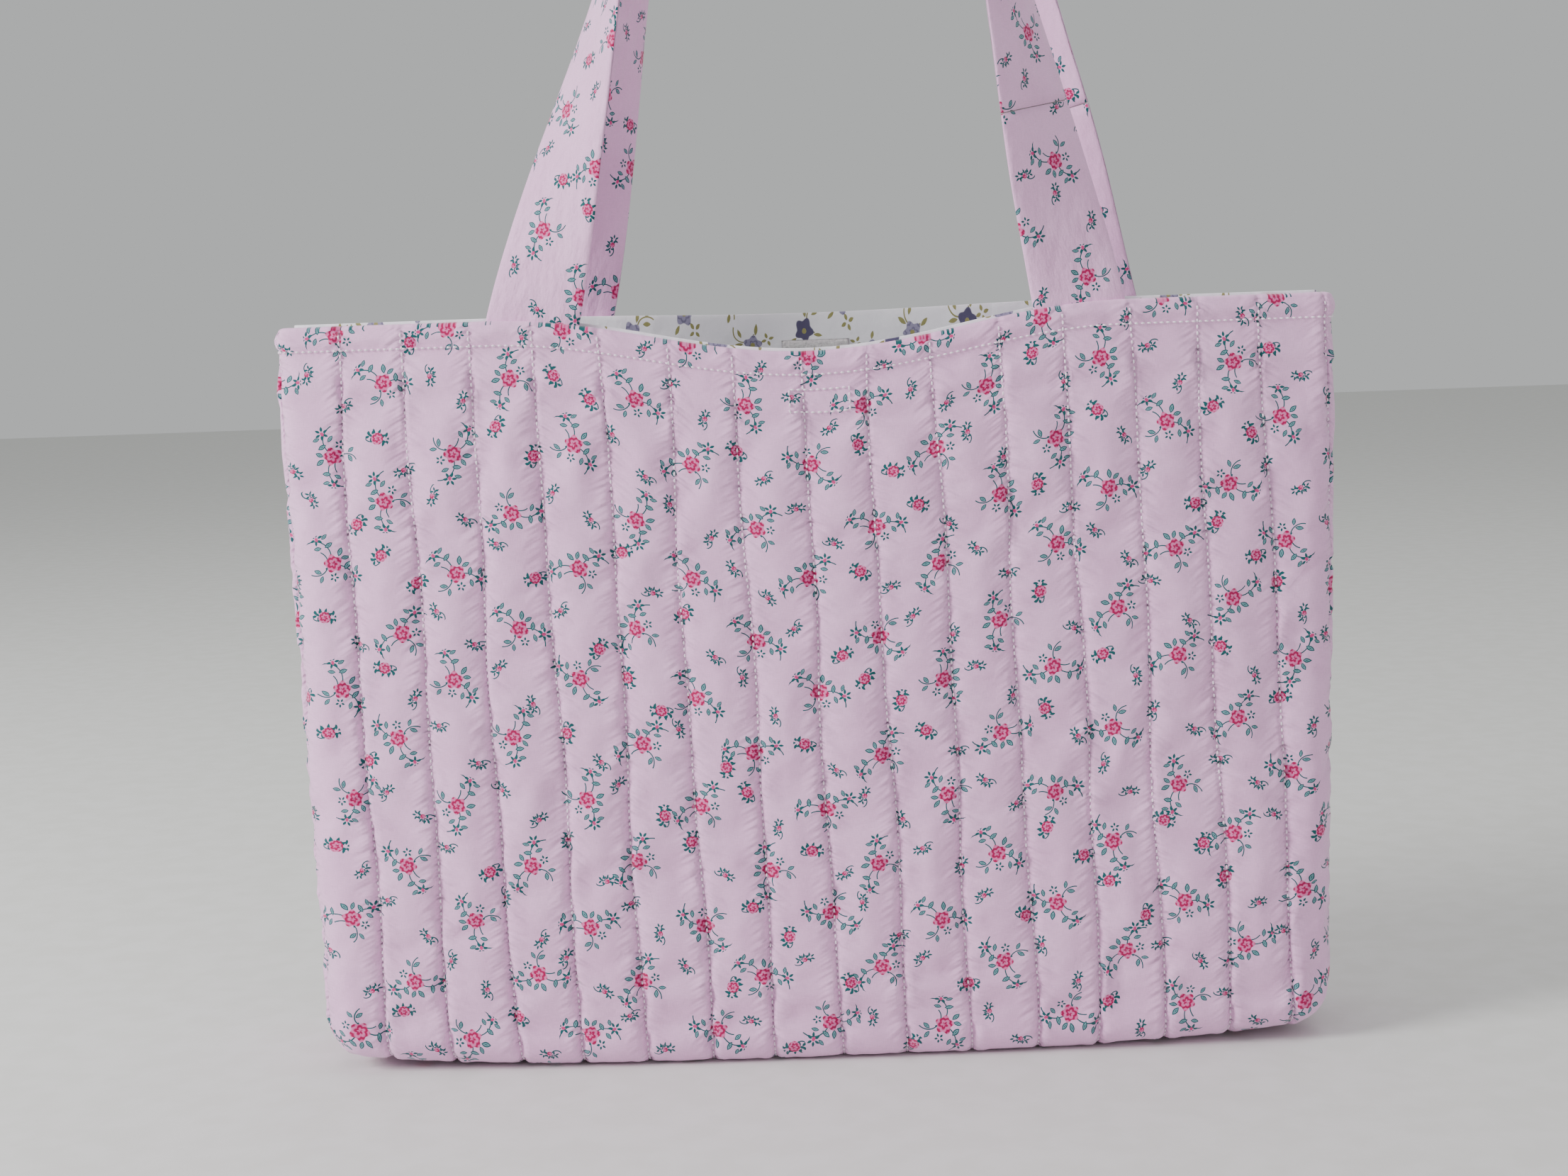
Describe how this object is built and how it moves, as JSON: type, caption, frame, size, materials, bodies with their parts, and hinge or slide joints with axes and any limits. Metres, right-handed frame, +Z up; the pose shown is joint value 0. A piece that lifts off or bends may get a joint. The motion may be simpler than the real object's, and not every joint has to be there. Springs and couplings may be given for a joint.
{
  "type": "quilted knitting bag",
  "caption": "Soft quilted cotton tote for knitting, with an open top, a boxed base, a contrasting cotton lining and flat turned strap handles at the front and back.",
  "frame": {"origin": "middle of the base on the surface that the bag stands on", "axes": "+Z up towards the handles, +X to the right seen from the front, the front faces -Y"},
  "size_m": [0.41, 0.0752, 0.5803],
  "materials": {
    "quilted_print": "matt printed cotton",
    "strap_print": "matt printed cotton",
    "lining_print": "matt printed cotton",
    "wadding": "fluffy",
    "interfacing": "matt",
    "hook_tape": "matt",
    "loop_tape": "brushed"
  },
  "bodies": {
    "bag": {"outer_front": "quilted_print", "outer_back": "quilted_print", "wadding_front": "wadding", "wadding_back": "wadding", "lining_front": "lining_print", "lining_back": "lining_print", "strap_end_front_left": "strap_print", "strap_end_front_right": "strap_print", "strap_end_back_left": "strap_print", "strap_end_back_right": "strap_print", "closure_hook_patch": "hook_tape", "closure_loop_patch": "loop_tape"},
    "front_handle": {"handle_front_long": "strap_print", "handle_front_short": "strap_print", "handle_front_core": "interfacing"},
    "back_handle": {"handle_back_long": "strap_print", "handle_back_short": "strap_print", "handle_back_core": "interfacing"}
  },
  "joints": [
    {"name": "front_handle_swing", "type": "hinge", "parent": "bag", "child": "front_handle", "pos_m": [0, -0.0211, 0.29], "axis": [1, 0, 0], "range_deg": [0, 165]},
    {"name": "back_handle_swing", "type": "hinge", "parent": "bag", "child": "back_handle", "pos_m": [0.01, 0.0218, 0.29], "axis": [-1, 0, 0], "range_deg": [0, 165]}
  ]
}
